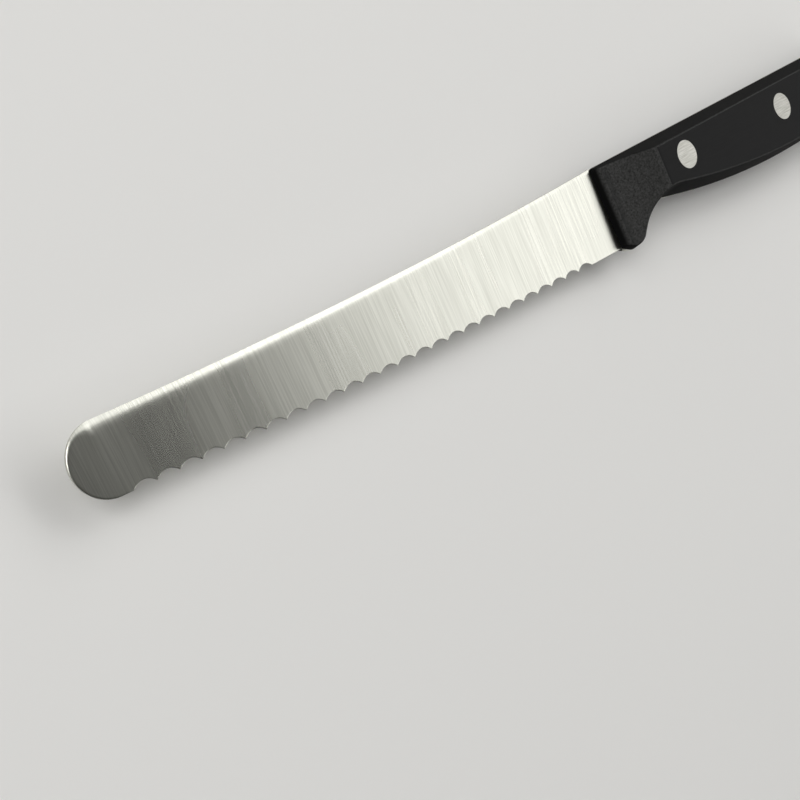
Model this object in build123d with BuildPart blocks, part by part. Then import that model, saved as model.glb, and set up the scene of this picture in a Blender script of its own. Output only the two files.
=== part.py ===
from build123d import *
import os
from math import cos, radians, sin, tan

os.makedirs("parts", exist_ok=True)

# A tomato knife that lies on its right side. All lengths are in millimetres.
# It is drawn in its own side view: x runs from the handle's front towards the butt, y from
# the cutting edge towards the spine, and zero is the spine at the handle's front.

# Blade
blade_length = 140.2
blade_thickness = 1.6
edge_thickness = 0.4
heel_width = 19.75
nose_radius = 7.0
nose_rise = 2.0
spine_hollow = 1.5
edge_belly = 1.15

# Serration: hollows ground from the right face only, with a plain stretch at the heel
scallop_count = 26
scallop_pitch = 4.67
scallop_depth = 1.05
plain_heel = 10.4
cusp_relief = 0.05
hollow_angle = 20.0

# Handle, seen from the side: its outline's corners, and the radius that rounds each
lobe_front_run = 2.8
lobe_back_run = 5.8
lobe_drop = 1.45
lobe_front_round = 3.5
lobe_back_round = 4.2
throat_run = 12.9
throat_depth = 12.8
throat_round = 12.0
belly_run = 48.6
belly_depth = 19.7
belly_round = 270.0
swell_run = 86.0
swell_round = 90.0
waist_run = 100.0
waist_depth = 18.4
waist_round = 40.0
hook_run = 110.5
hook_depth = 21.3
hook_round = 12.0
butt_heel_run = 119.6
butt_heel_round = 5.5
butt_crown_run = 122.6
butt_crown_round = 9.0
fit_share = 0.95

# Handle, across its thickness
scale_thickness = 7.0
flank_inset = 1.9
collar_thickness = 2.0
ramp_length = 15.7
ramp_hollow = 0.9
collar_round = 1.6
crease_round = 5.0
flank_round = 0.6
front_skim = 0.05
grind_cover = 0.4

# Rivets: a head with a hollow shank on the left, a head with a post on the right
rivet_names = ("front", "middle", "rear")
rivet_depths = (7.05, 8.15, 9.4)
first_rivet_run = 25.5
rivet_spacing = 41.9
head_diameter = 6.8
head_height = 2.8
shank_diameter = 4.4
post_diameter = 2.8

# Fits, and the length by which every cut runs past what it cuts
head_clearance = 0.03
shank_clearance = 0.05
post_clearance = 0.02
end_clearance = 0.1
overrun = 5.0

# Outline of the blade: hollow spine, full-round nose, belly of the edge, handle's front
heel_corner = Vector(0, -heel_width)
nose_top = Vector(nose_radius - blade_length, nose_rise)
nose_tip = nose_top + Vector(-nose_radius, -nose_radius)
nose_bottom = nose_top + Vector(0, -2 * nose_radius)
spine_middle = nose_top / 2 + Vector(0, -spine_hollow)
edge_middle = (heel_corner + nose_bottom) / 2 + Vector(0, -edge_belly)
edge_curve = ThreePointArc(heel_corner, edge_middle, nose_bottom)

with BuildSketch() as blade_profile:
    with BuildLine():
        ThreePointArc((0, 0), spine_middle, nose_top)
        ThreePointArc(nose_top, nose_tip, nose_bottom)
        add(edge_curve)
        Line(heel_corner, (0, 0))
    make_face()

# Outline of the handle, shared by the tang and both scales
handle_corners = [
    heel_corner,
    Vector(lobe_front_run, -heel_width - lobe_drop),
    Vector(lobe_back_run, -heel_width - lobe_drop),
    Vector(throat_run, -throat_depth),
    Vector(belly_run, -belly_depth),
    Vector(swell_run, -belly_depth),
    Vector(waist_run, -waist_depth),
    Vector(hook_run, -hook_depth),
    Vector(butt_heel_run, -hook_depth),
    Vector(butt_crown_run, 0),
    Vector(0, 0),
]
handle_rounds = [
    lobe_front_round,
    lobe_back_round,
    throat_round,
    belly_round,
    swell_round,
    waist_round,
    hook_round,
    butt_heel_round,
    butt_crown_round,
]


def fitting_rounds(corners, rounds):
    """The radii, each made smaller where its arc wouldn't fit on the straight runs beside it."""
    runs = [end - start for start, end in zip(corners, corners[1:])]
    turns = [radians(before.get_angle(after)) for before, after in zip(runs, runs[1:])]
    needs = [0, *(radius * tan(turn / 2) for radius, turn in zip(rounds, turns)), 0]
    room_shares = [
        min(1, fit_share * run.length / (start + end))
        for run, start, end in zip(runs, needs, needs[1:])
    ]
    return [
        radius * min(before, after)
        for radius, before, after in zip(rounds, room_shares, room_shares[1:])
    ]


with BuildSketch() as handle_profile:
    with BuildLine():
        FilletPolyline(*handle_corners, radius=fitting_rounds(handle_corners, handle_rounds))
        Line((0, 0), heel_corner)
    make_face()

# The knife's middle plane, with the whole knife centred over the point it stands on
handle_half = blade_thickness / 2 + scale_thickness
outline_box = (blade_profile.sketch + handle_profile.sketch).bounding_box()
side_plane = Plane((-outline_box.center().X, -outline_box.center().Y, handle_half))

rivet_places = [
    (first_rivet_run + number * rivet_spacing, -depth)
    for number, depth in enumerate(rivet_depths)
]

# Blade and tang in one piece: ground thinner towards the edge, then serrated
front_direction = (Vector(0, 0) - heel_corner).normalized()
butt_direction = Vector(front_direction.Y, -front_direction.X)
grind_plane = Plane(
    side_plane.from_local_coords(heel_corner + butt_direction * grind_cover),
    x_dir=front_direction,
    z_dir=butt_direction,
)
front_height = heel_corner.length
taper_per_height = (blade_thickness - edge_thickness) / 2 / front_height


def ground_half(height):
    """Half of the blade's thickness at a height above the edge."""
    return edge_thickness / 2 + taper_per_height * height


with BuildPart() as blade:
    with BuildSketch(side_plane):
        add(blade_profile.sketch)
        add(handle_profile.sketch)
    extrude(amount=blade_thickness / 2, both=True)
    for face_side in (1, -1):
        with BuildSketch(grind_plane):
            with BuildLine():
                Polyline(
                    (-overrun, face_side * ground_half(-overrun)),
                    (front_height + overrun, face_side * ground_half(front_height + overrun)),
                    (front_height + overrun, face_side * overrun),
                    (-overrun, face_side * overrun),
                    close=True,
                )
            make_face()
        extrude(
            amount=blade_length + overrun,
            dir=(nose_bottom - heel_corner).normalized(),
            mode=Mode.SUBTRACT,
        )
    # Each hollow is a slanting cylinder that comes up from the right face
    slant = radians(hollow_angle)
    cusp_drop = (scallop_depth + cusp_relief) * sin(slant)
    hollow_radius = ((scallop_pitch / 2) ** 2 + cusp_drop**2) / (2 * cusp_drop)
    hollow_places = []
    for number in range(scallop_count):
        run = (plain_heel + (number + 1 / 2) * scallop_pitch) / edge_curve.length
        along = edge_curve % run
        inward = Vector(along.Y, -along.X)
        top = edge_curve @ run + inward * (scallop_depth + cusp_relief)
        top += Vector(0, 0, edge_thickness / 2)
        groove = inward * cos(slant) - Vector(0, 0, sin(slant))
        outward = -inward * sin(slant) - Vector(0, 0, cos(slant))
        centre = side_plane.from_local_coords(top + outward * hollow_radius)
        hollow_places.append(Plane(centre, x_dir=along, z_dir=groove))
    with Locations(*hollow_places):
        Cylinder(hollow_radius, 2 * overrun, mode=Mode.SUBTRACT)
    with Locations(side_plane):
        with Locations(*rivet_places):
            Hole(shank_diameter / 2 + shank_clearance)
blade.part.label = "blade_with_tang"
export_step(blade.part, "parts/blade_with_tang.step")


# Left scale: flanks that slope in towards the flat, and a collar that thins towards the blade
flat_plane = side_plane.offset(handle_half)
flank_slope = Vector(flank_inset, scale_thickness)
collar_foot = Vector(front_skim, blade_thickness / 2)
ramp_start = collar_foot + flank_slope * (collar_thickness / scale_thickness)
ramp_end = Vector(ramp_length, handle_half)
ramp_direction = (ramp_end - ramp_start).normalized()
ramp_inward = Vector(ramp_direction.Y, -ramp_direction.X)
ramp_middle = (ramp_start + ramp_end) / 2 + ramp_inward * ramp_hollow
butt_top = Vector(butt_crown_run + overrun, handle_half)

with BuildPart() as left_scale:
    with BuildSketch(side_plane.offset(blade_thickness / 2)):
        add(handle_profile.sketch)
    with BuildSketch(flat_plane):
        add(handle_profile.sketch)
        offset(amount=-flank_inset, mode=Mode.REPLACE)
    loft(ruled=True)
    with BuildSketch(Plane(side_plane.origin, x_dir=(1, 0, 0), z_dir=(0, -1, 0))) as edge_view:
        with BuildLine():
            ThreePointArc(ramp_start, ramp_middle, ramp_end)
            Polyline(
                ramp_end,
                butt_top,
                butt_top - Vector(0, handle_half + overrun),
                collar_foot - flank_slope,
                ramp_start,
            )
        make_face()
        fillet(edge_view.vertices().sort_by_distance(ramp_start)[0], radius=collar_round)
        fillet(edge_view.vertices().sort_by_distance(ramp_end)[0], radius=crease_round)
    extrude(amount=hook_depth + overrun, dir=front_direction, both=True, mode=Mode.INTERSECT)
    # The flat's edges, but for the smooth crease: the rounding runs on down the ramp's edges
    flat = left_scale.faces().filter_by(Plane.XY).sort_by(Axis.Z)[-1]
    fillet(flat.edges().sort_by(Axis.X)[1:], radius=flank_round)
    with Locations(flat_plane):
        with Locations(*rivet_places):
            CounterBoreHole(
                radius=shank_diameter / 2 + shank_clearance,
                counter_bore_radius=head_diameter / 2 + head_clearance,
                counter_bore_depth=head_height,
            )
left_scale.part.label = "left_handle_scale"
export_step(left_scale.part, "parts/left_handle_scale.step")

# Right scale: the left one mirrored about the tang
with BuildPart() as right_scale:
    mirror(left_scale.part, about=side_plane)
right_scale.part.label = "right_handle_scale"
export_step(right_scale.part, "parts/right_handle_scale.step")

# Rivets: the post of the right half is pressed into the hollow shank of the left half,
# and both heads are ground flush with the flats of the scales
shank_length = 2 * (handle_half - head_height) - end_clearance
for name, place in zip(rivet_names, rivet_places):
    with BuildPart() as left_half:
        with BuildSketch(flat_plane):
            with Locations(place):
                Circle(head_diameter / 2)
        extrude(amount=-head_height)
        with BuildSketch(flat_plane.offset(-head_height)):
            with Locations(place):
                Circle(shank_diameter / 2)
                Circle(post_diameter / 2 + post_clearance, mode=Mode.SUBTRACT)
        extrude(amount=-shank_length)
    left_half.part.label = f"{name}_rivet_left_half"
    export_step(left_half.part, f"parts/{name}_rivet_left_half.step")

    with BuildPart() as right_half:
        with BuildSketch(side_plane.offset(-handle_half)):
            with Locations(place):
                Circle(head_diameter / 2)
        extrude(amount=head_height)
        with BuildSketch(side_plane.offset(head_height - handle_half)):
            with Locations(place):
                Circle(post_diameter / 2)
        extrude(amount=shank_length)
    right_half.part.label = f"{name}_rivet_right_half"
    export_step(right_half.part, f"parts/{name}_rivet_right_half.step")
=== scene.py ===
from math import cos, radians, sin, sqrt, tan

import bmesh
import bpy
from mathutils import Matrix, Vector


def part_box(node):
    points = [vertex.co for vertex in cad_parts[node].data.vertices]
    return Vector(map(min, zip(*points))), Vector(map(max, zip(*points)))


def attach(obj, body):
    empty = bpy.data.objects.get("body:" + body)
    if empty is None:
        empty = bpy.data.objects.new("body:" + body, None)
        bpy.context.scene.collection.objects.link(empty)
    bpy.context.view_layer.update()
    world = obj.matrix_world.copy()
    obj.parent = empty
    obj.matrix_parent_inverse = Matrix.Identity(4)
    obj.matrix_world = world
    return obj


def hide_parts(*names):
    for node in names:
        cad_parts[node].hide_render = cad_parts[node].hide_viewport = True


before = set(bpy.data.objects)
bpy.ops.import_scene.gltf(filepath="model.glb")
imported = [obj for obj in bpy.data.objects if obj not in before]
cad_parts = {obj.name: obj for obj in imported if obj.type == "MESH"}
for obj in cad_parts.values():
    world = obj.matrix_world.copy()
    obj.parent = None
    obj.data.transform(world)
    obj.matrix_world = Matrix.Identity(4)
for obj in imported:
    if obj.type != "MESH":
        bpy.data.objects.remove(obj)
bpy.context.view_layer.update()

MM = 0.001

# Blade: the sizes of its outline, as in the solid model, in millimetres. It is drawn in its
# own side view: x runs from the handle's front towards the butt, y towards the spine
blade_length = 140.2
blade_half = 0.8
edge_half = 0.2
heel_width = 19.75
nose_radius = 7.0
nose_rise = 2.0
spine_hollow = 1.5
edge_belly = 1.15
scallop_count = 26
scallop_pitch = 4.67
scallop_rise = 1.1
hollow_slant = radians(20)
plain_heel = 10.4
tang_start = 1.4
blade_tuck = 2.4

# The polisher rounds the long edges over: widest at the nose, a hair along the teeth
rim_at_handle = 1.6
rim_at_nose = 3.8
rim_under_nose = 0.4
rim_at_edge = 0.2
nose_fade = 6
crown_tilt = radians(24)
edge_tilt = radians(30)
rim_fall = 2

# How finely the mesh is drawn, and how close two points are before they become one
spine_steps = 64
nose_steps = 56
edge_steps = 400
hollow_steps = 12
rim_steps = 6
weld_distance = 0.001 * MM
flat_within = radians(0.5)
sharp_from = radians(30)

blade_low, blade_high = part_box("blade_with_tang")
side_zero = Vector((blade_low.x + blade_length * MM, blade_high.y - nose_rise * MM))
middle_height = (blade_low.z + blade_high.z) / 2


def arc_through(start, middle, end, count):
    """Points of the arc from start through middle to end, both ends included."""
    a = middle - start
    b = end - start
    toward = Vector((b.y * a.dot(a) - a.y * b.dot(b), a.x * b.dot(b) - b.x * a.dot(a)))
    centre = start + toward / (2 * a.cross(b))
    first, second, third = (point - centre for point in (start, middle, end))
    sweep = -first.angle_signed(second) - second.angle_signed(third)
    return [centre + Matrix.Rotation(sweep * i / count, 2) @ first for i in range(count + 1)]


heel_corner = Vector((0, -heel_width))
nose_top = Vector((nose_radius - blade_length, nose_rise))
nose_tip = nose_top + Vector((-nose_radius, -nose_radius))
nose_bottom = nose_top + Vector((0, -2 * nose_radius))
spine_middle = nose_top / 2 + Vector((0, -spine_hollow))
edge_middle = (heel_corner + nose_bottom) / 2 + Vector((0, -edge_belly))
front_line = -heel_corner
front_run = front_line.normalized()
edge_run = (nose_bottom - heel_corner).normalized()


def half_thickness(place):
    """Half of the ground blade's thickness there: it grows from the edge to the spine."""
    height = edge_run.cross(place - heel_corner) / edge_run.cross(front_run)
    return edge_half + (blade_half - edge_half) * height / front_line.length


class OutlinePoint:
    """A point of the blade's outline, its rounded rim, and the way its hollow leans under."""

    def __init__(self, place, rim, tilt, lean=None):
        self.place = place
        self.rim = rim
        self.tilt = tilt
        self.lean = lean


def blade_outline():
    """The outline from the handle along the spine, round the nose and back along the teeth."""
    points = [OutlinePoint(Vector((blade_tuck, 0)), rim_at_handle, crown_tilt)]
    for place in arc_through(Vector((0, 0)), spine_middle, nose_top, spine_steps)[:-1]:
        share = place.x / nose_top.x
        rim = rim_at_handle + (rim_at_nose - rim_at_handle) * share
        points.append(OutlinePoint(place, rim, crown_tilt))
    for i, place in enumerate(arc_through(nose_top, nose_tip, nose_bottom, nose_steps)):
        share = 1 - (1 - i / nose_steps) ** nose_fade
        rim = rim_at_nose + (rim_under_nose - rim_at_nose) * share
        points.append(OutlinePoint(place, rim, crown_tilt + (edge_tilt - crown_tilt) * share))

    edge = arc_through(nose_bottom, edge_middle, heel_corner, edge_steps)
    edge_length = sum((b - a).length for a, b in zip(edge, edge[1:]))
    hollow_drop = scallop_rise * sin(hollow_slant)
    hollow_radius = ((scallop_pitch / 2) ** 2 + hollow_drop**2) / (2 * hollow_drop)
    for number in reversed(range(scallop_count)):
        run = 1 - (plain_heel + (number + 1 / 2) * scallop_pitch) / edge_length
        index = round(run * edge_steps)
        along = (edge[index + 1] - edge[index - 1]).normalized()
        inward = Vector((-along.y, along.x))
        start = int(run * edge_steps)
        middle = edge[start].lerp(edge[start + 1], run * edge_steps - start)
        hollow = []
        for i in range(hollow_steps + 1):
            aside = (i / hollow_steps - 1 / 2) * scallop_pitch
            fall = (hollow_radius - sqrt(hollow_radius**2 - aside**2)) / sin(hollow_slant)
            place = middle + along * aside + inward * (scallop_rise - fall)
            hollow.append(OutlinePoint(place, rim_at_edge, edge_tilt, inward))
        if number == scallop_count - 1:
            points.append(OutlinePoint(hollow[0].place.copy(), rim_at_edge, edge_tilt))
        else:
            hollow = hollow[1:]
        points.extend(hollow)
    points.append(OutlinePoint(points[-1].place.copy(), rim_at_edge, edge_tilt))
    points.append(OutlinePoint(heel_corner, rim_at_edge, edge_tilt))
    points.append(OutlinePoint(heel_corner + Vector((blade_tuck, 0)), rim_at_edge, edge_tilt))
    return points


def in_frame(place, height):
    """A point of the side view and its height over the middle plane, in the shared frame."""
    return Vector((*(side_zero + place * MM), middle_height + height * MM))


def ground_blade():
    """The blade as a closed mesh: two ground faces, rounded rims and hollow-ground teeth."""
    outline = blade_outline()
    count = len(outline)
    bm = bmesh.new()
    rings = {1: [[] for _ in range(rim_steps + 1)], -1: [[] for _ in range(rim_steps + 1)]}
    for i, point in enumerate(outline):
        behind = next(
            outline[i - k].place
            for k in range(1, count)
            if (outline[i - k].place - point.place).length > MM
        )
        ahead = next(
            outline[(i + k) % count].place
            for k in range(1, count)
            if (outline[(i + k) % count].place - point.place).length > MM
        )
        before = (point.place - behind).normalized()
        after = (ahead - point.place).normalized()
        along = (before + after).normalized()
        inward = Vector((-along.y, along.x)) / max(along.dot(after), 1 / 2)
        for side in (1, -1):
            foot = point.place
            rim = point.rim
            if side < 0 and point.lean:
                foot = foot + point.lean * 2 * half_thickness(foot) / tan(hollow_slant)
                rim = 0
            for step in range(rim_steps + 1):
                share = step / rim_steps
                place = foot + inward * rim * (1 - share)
                drop = rim * tan(point.tilt) * share ** (rim_fall + 1) / (rim_fall + 1)
                height = side * (half_thickness(place) - drop)
                rings[side][step].append(bm.verts.new(in_frame(place, height)))
    bm.faces.new(rings[1][0])
    bm.faces.new(reversed(rings[-1][0]))
    strips = [rings[-1][0], *rings[-1][1:], *reversed(rings[1])]
    for lower, upper in zip(strips, strips[1:]):
        for i in range(count):
            j = (i + 1) % count
            bm.faces.new((lower[i], lower[j], upper[j], upper[i]))
    bmesh.ops.remove_doubles(bm, verts=bm.verts, dist=weld_distance)
    bmesh.ops.recalc_face_normals(bm, faces=bm.faces)
    return bm


def tang_only():
    """The solid model's tang, cut off where the handle hides it."""
    bm = bmesh.new()
    bm.from_mesh(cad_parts["blade_with_tang"].data)
    bmesh.ops.remove_doubles(bm, verts=bm.verts, dist=weld_distance)
    bmesh.ops.bisect_plane(
        bm,
        geom=[*bm.verts, *bm.edges, *bm.faces],
        plane_co=in_frame(Vector((tang_start, 0)), 0),
        plane_no=(front_run.y, -front_run.x, 0),
        clear_inner=True,
    )
    bmesh.ops.holes_fill(bm, edges=[edge for edge in bm.edges if edge.is_boundary])
    bmesh.ops.dissolve_limit(bm, angle_limit=flat_within, verts=bm.verts, edges=bm.edges)
    bmesh.ops.recalc_face_normals(bm, faces=bm.faces)
    return bm


def piece_from(bm, name):
    """A new object, with the mesh given."""
    mesh = bpy.data.meshes.new(name)
    bm.to_mesh(mesh)
    bm.free()
    piece = bpy.data.objects.new(name, mesh)
    bpy.context.scene.collection.objects.link(piece)
    return piece


def joined(piece, other):
    """piece becomes one closed skin with other, which is used up."""
    union = piece.modifiers.new("union", "BOOLEAN")
    union.object = other
    union.operation = "UNION"
    union.solver = "EXACT"
    bpy.context.view_layer.update()
    evaluated = piece.evaluated_get(bpy.context.evaluated_depsgraph_get())
    mesh = bpy.data.meshes.new_from_object(evaluated)
    piece.modifiers.clear()
    piece.data = mesh
    bpy.data.objects.remove(other)


def smooth(piece, sharp_angle):
    """Soft shading, except at the edges that are sharper than sharp_angle."""
    piece.data.polygons.foreach_set("use_smooth", [True] * len(piece.data.polygons))
    piece.data.set_sharp_from_angle(angle=sharp_angle)
    weighted = piece.modifiers.new("weighted_normals", "WEIGHTED_NORMAL")
    weighted.keep_sharp = True


blade = piece_from(ground_blade(), "polished_blade")
joined(blade, piece_from(tang_only(), "tang"))
smooth(blade, sharp_from)
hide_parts("blade_with_tang")
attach(blade, "root")


def srgb(code):
    """A colour written as sRGB hex, as the linear values that the shaders take."""
    channels = [int(code[i : i + 2], 16) / 255 for i in (1, 3, 5)]
    return [c / 12.92 if c <= 0.04045 else ((c + 0.055) / 1.055) ** 2.4 for c in channels] + [1]


def add_node(tree, kind, settings=None, links=None):
    """Adds a node. A key is a socket, by name or number, or else a setting of the node."""
    node = tree.nodes.new(kind)
    for key, value in (settings or {}).items():
        if isinstance(key, int) or key in node.inputs:
            node.inputs[key].default_value = value
        else:
            setattr(node, key, value)
    for key, source in (links or {}).items():
        tree.links.new(source, node.inputs[key])
    return node


def new_material(name):
    """An empty material, its node tree and its output node."""
    material = bpy.data.materials.new(name)
    material.use_nodes = True
    tree = material.node_tree
    tree.nodes.clear()
    return material, tree, tree.nodes.new("ShaderNodeOutputMaterial")


def streaks(tree, sizes, detail=2):
    """Noise drawn out along an axis: sizes are its grains' lengths in millimetres."""
    places = add_node(tree, "ShaderNodeTexCoord")
    scale = [1 / (size * MM) for size in sizes]
    drawn = add_node(
        tree, "ShaderNodeMapping", {"Scale": scale}, {"Vector": places.outputs["Object"]}
    )
    noise = add_node(
        tree,
        "ShaderNodeTexNoise",
        {"Scale": 1, "Detail": detail, "Roughness": 0.6},
        {"Vector": drawn.outputs[0]},
    )
    return noise.outputs["Fac"]


def spread(tree, value, low, high, start=0.3, end=0.7):
    """A value's range from start to end, stretched from low to high."""
    return add_node(
        tree,
        "ShaderNodeMapRange",
        {"From Min": start, "From Max": end, "To Min": low, "To Max": high},
        {"Value": value},
    ).outputs[0]


def blend_colours(tree, factor, first, second):
    """Two sRGB colours, mixed by a factor. A Mix node's colours are its sockets 6 and 7."""
    mix = add_node(tree, "ShaderNodeMix", {"data_type": "RGBA", 6: srgb(first), 7: srgb(second)})
    tree.links.new(factor, mix.inputs[0])
    return mix.outputs[2]


def satin_blade_steel():
    """Stainless blade steel, belt-ground across the blade.

    The grinding lines run from the spine to the edge. They draw every reflection out along
    the blade, and show as fine light and dark strokes where the blade turns dark."""
    material, tree, output = new_material("satin_ground_stainless_steel")
    # A 240 belt leaves lines under 0.1 mm apart, drawn here as coarse as they need to show
    fine = streaks(tree, (0.25, 14, 14), 1)
    strokes = streaks(tree, (0.5, 8, 8), 1)
    bands = streaks(tree, (9, 40, 40), 1)
    tint = blend_colours(tree, spread(tree, fine, 0, 1), "#BBBBB2", "#CECEC5")
    coarse_bump = add_node(
        tree, "ShaderNodeBump", {"Strength": 0.5, "Distance": 0.002 * MM}, {"Height": strokes}
    )
    across = add_node(tree, "ShaderNodeTangent", {"direction_type": "RADIAL", "axis": "X"})
    shader = add_node(
        tree,
        "ShaderNodeBsdfPrincipled",
        {"Metallic": 1, "Anisotropic": 0.25, "Anisotropic Rotation": 0.25},
        {
            "Base Color": tint,
            "Roughness": spread(tree, bands, 0.26, 0.29),
            "Normal": coarse_bump.outputs[0],
            "Tangent": across.outputs[0],
        },
    )
    tree.links.new(shader.outputs[0], output.inputs[0])
    return material


def black_acetal():
    """Black acetal: moulded, then the flats belt-ground and the flanks buffed flush.

    The mould leaves a soft, even grain and a low sheen on the collar, whose colour is also
    lifted to grey as painted light. The belt leaves faint lines along the flats, which look
    flatter and keep the acetal's own near-black; the flanks are a painted shade darker still."""
    material, tree, output = new_material("moulded_and_ground_black_acetal")
    surface = add_node(tree, "ShaderNodeNewGeometry")
    facing = add_node(
        tree, "ShaderNodeSeparateXYZ", {}, {"Vector": surface.outputs["True Normal"]}
    )
    upright = add_node(
        tree, "ShaderNodeMath", {"operation": "ABSOLUTE"}, {0: facing.outputs["Z"]}
    ).outputs[0]
    on_flat = spread(tree, upright, 0, 1, 0.985, 0.998)
    # The flanks stand at nearly the slope of their draft, where the collar lies much flatter
    off_flank = spread(tree, upright, 0, 1, 0.5, 0.9)
    # The mould's grain is finer than this, drawn here as coarse as it needs to show
    grain = streaks(tree, (0.5, 0.5, 0.5), 2)
    lines = streaks(tree, (9, 0.13, 9), 3)
    relief = add_node(
        tree, "ShaderNodeMix", {"data_type": "FLOAT"}, {0: on_flat, 2: grain, 3: lines}
    )
    bump = add_node(
        tree,
        "ShaderNodeBump",
        {"Strength": 0.5, "Distance": 0.06 * MM},
        {"Height": relief.outputs[0]},
    )
    # Collar: the mould's grain as a random tone, with its colour lifted to grey as painted light
    # where the collar faces up to the lamps
    moulded = blend_colours(tree, spread(tree, grain, 0, 1), "#232322", "#414140")
    ground = blend_colours(tree, spread(tree, lines, 0, 1), "#0A0A0A", "#111111")
    upper = add_node(
        tree, "ShaderNodeMix", {"data_type": "RGBA"}, {0: on_flat, 6: moulded, 7: ground}
    )
    # Flanks: painted #080808, a little darker than the flats, as painted shade
    colour = add_node(
        tree,
        "ShaderNodeMix",
        {"data_type": "RGBA", 6: srgb("#080808")},
        {0: off_flank, 7: upper.outputs[2]},
    )
    softness = add_node(
        tree,
        "ShaderNodeMix",
        {"data_type": "FLOAT", 2: 0.85},
        {0: off_flank, 3: spread(tree, on_flat, 0.55, 0.42, 0, 1)},
    )
    shader = add_node(
        tree,
        "ShaderNodeBsdfPrincipled",
        {"IOR": 1.48, "Specular IOR Level": 0.1},
        {
            "Base Color": colour.outputs[2],
            "Roughness": softness.outputs[0],
            "Normal": bump.outputs[0],
        },
    )
    tree.links.new(shader.outputs[0], output.inputs[0])
    return material


def ground_rivet_steel():
    """Stainless rivets, ground flush on the same belt as the flats of the handle."""
    material, tree, output = new_material("belt_ground_rivet_steel")
    lines = streaks(tree, (4, 0.2, 4), 3)
    bump = add_node(
        tree, "ShaderNodeBump", {"Strength": 0.3, "Distance": 0.012 * MM}, {"Height": lines}
    )
    shader = add_node(
        tree,
        "ShaderNodeBsdfPrincipled",
        {"Metallic": 1},
        {
            "Base Color": blend_colours(tree, spread(tree, lines, 0, 1), "#98978F", "#C6C5BF"),
            "Roughness": spread(tree, lines, 0.38, 0.46),
            "Normal": bump.outputs[0],
        },
    )
    tree.links.new(shader.outputs[0], output.inputs[0])
    return material


def pale_floor_paint():
    """A plain pale studio table, painted matt."""
    material, tree, output = new_material("matt_pale_table_paint")
    shader = add_node(
        tree, "ShaderNodeBsdfPrincipled", {"Base Color": srgb("#F0EFEC"), "Roughness": 0.9}
    )
    tree.links.new(shader.outputs[0], output.inputs[0])
    return material


def dress(piece, material):
    """Gives the piece this one material."""
    piece.data.materials.clear()
    piece.data.materials.append(material)


dress(blade, satin_blade_steel())
acetal = black_acetal()
rivet_steel = ground_rivet_steel()
for name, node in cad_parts.items():
    if "scale" in name:
        dress(node, acetal)
    if "rivet" in name:
        dress(node, rivet_steel)

# Table
table_size = 2.2
bm = bmesh.new()
bmesh.ops.create_grid(bm, x_segments=1, y_segments=1, size=table_size / 2)
table = piece_from(bm, "table")
dress(table, pale_floor_paint())

# Camera: over the nose, looking along the blade, and turned so that the knife climbs
camera_place = Vector((-197.55, 25.2, 200.33)) * MM
camera_aim = Vector((-65.09, -13.07, 8.6)) * MM
camera_roll = radians(-78.01)
camera_lens = 54.0

view = (camera_aim - camera_place).normalized()
level_right = view.cross(Vector((0, 0, 1))).normalized()
level_up = level_right.cross(view)
up = level_up * cos(camera_roll) + level_right * sin(camera_roll)
camera_data = bpy.data.cameras.new("camera")
camera_data.lens = camera_lens
camera_data.sensor_width = 36
camera = bpy.data.objects.new("camera", camera_data)
turned = Matrix((view.cross(up), up, -view)).transposed().to_4x4()
camera.matrix_world = Matrix.Translation(camera_place) @ turned
bpy.context.scene.collection.objects.link(camera)
bpy.context.scene.camera = camera


def studio_lamp(name, azimuth, elevation, distance, width, height, power):
    """A soft rectangular lamp that looks at the knife from a compass angle and a height."""
    data = bpy.data.lights.new(name, "AREA")
    data.shape = "RECTANGLE"
    data.size = width
    data.size_y = height
    data.energy = power
    lamp = bpy.data.objects.new(name, data)
    turn, lift = radians(azimuth), radians(elevation)
    away = Vector((cos(turn) * cos(lift), sin(turn) * cos(lift), sin(lift)))
    lamp.location = away * distance
    lamp.rotation_euler = away.to_track_quat("Z", "Y").to_euler()
    bpy.context.scene.collection.objects.link(lamp)


studio_lamp("softbox_behind", 8, 45, 1.2, 2.4, 0.68, 9.3)
studio_lamp("strip_over_spine", 60, 58, 1.1, 0.9, 0.3, 1.3)
studio_lamp("key_left", 150, 48, 1.4, 0.9, 0.9, 10)

# Studio: pale walls all round, and a dim ceiling that keeps the steel's dark tones
world = bpy.data.worlds.new("studio")
world.use_nodes = True
room = world.node_tree
sky = add_node(room, "ShaderNodeTexCoord")
height = add_node(room, "ShaderNodeSeparateXYZ", {}, {"Vector": sky.outputs["Generated"]})
walls = spread(room, height.outputs["Z"], 0.75, 0.05, 0.05, 0.35)
backdrop = room.nodes["Background"]
backdrop.inputs["Color"].default_value = srgb("#F4F4F2")
room.links.new(walls, backdrop.inputs["Strength"])
bpy.context.scene.world = world
bpy.context.scene.view_settings.view_transform = "Standard"
